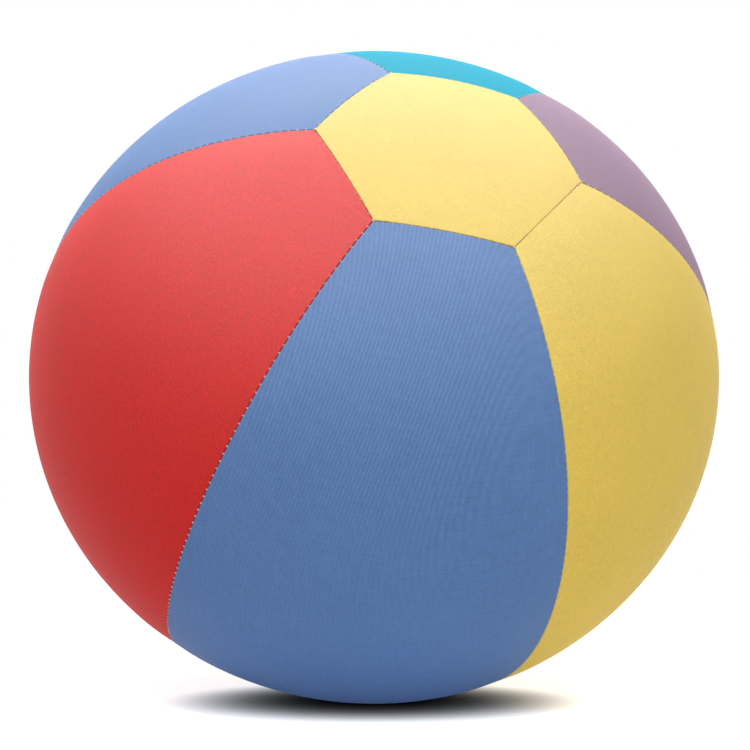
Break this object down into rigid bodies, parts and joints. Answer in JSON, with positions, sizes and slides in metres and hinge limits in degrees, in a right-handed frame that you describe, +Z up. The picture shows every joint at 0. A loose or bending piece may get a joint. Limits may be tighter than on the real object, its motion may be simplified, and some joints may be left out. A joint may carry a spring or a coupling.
{
  "type": "balloon ball",
  "caption": "Light play ball: a sewn cloth cover of coloured gores and hexagonal end caps, blown tight by a balloon put in through a closure in one cap.",
  "frame": {"origin": "middle of the flat patch on which the ball rests, under the front blue gore", "axes": "+Z up, from the floor through the ball's middle; -Y towards the side that shows the front blue gore and the top cap, +X to the right as seen from there"},
  "size_m": [0.2994, 0.2998, 0.2825],
  "materials": {
    "cloth_blue": "matte plain weave",
    "cloth_yellow": "matte plain weave",
    "cloth_purple": "matte plain weave",
    "cloth_turquoise": "matte plain weave",
    "cloth_red": "matte plain weave",
    "thread": "satin sewing thread",
    "latex": "satin latex"
  },
  "bodies": {
    "ball": {"top_cap": "cloth_yellow", "gore_blue_front": "cloth_blue", "gore_yellow": "cloth_yellow", "gore_purple": "cloth_purple", "gore_turquoise": "cloth_turquoise", "gore_blue_back": "cloth_blue", "gore_red": "cloth_red", "bottom_cap_outer_half": "cloth_yellow", "bottom_cap_inner_half": "cloth_yellow", "gore_seam_thread_1": "thread", "gore_seam_thread_2": "thread", "gore_seam_thread_3": "thread", "gore_seam_thread_4": "thread", "gore_seam_thread_5": "thread", "gore_seam_thread_6": "thread", "top_cap_seam_thread": "thread", "bottom_cap_seam_thread": "thread", "outer_half_hem_thread": "thread", "inner_half_hem_thread": "thread", "balloon": "latex", "balloon_knot": "latex"},
    "tongue": {"closure_tongue": "cloth_yellow", "tongue_hem_thread": "thread"}
  },
  "joints": [
    {"name": "tongue_fold", "type": "hinge", "parent": "ball", "child": "tongue", "pos_m": [-0.02956, 0.12703, 0.07082], "axis": [0.5677, 0.524, 0.6349], "range_deg": [0, 120], "stiffness_Nm_per_rad": 0.002, "springref_deg": -5.73}
  ]
}
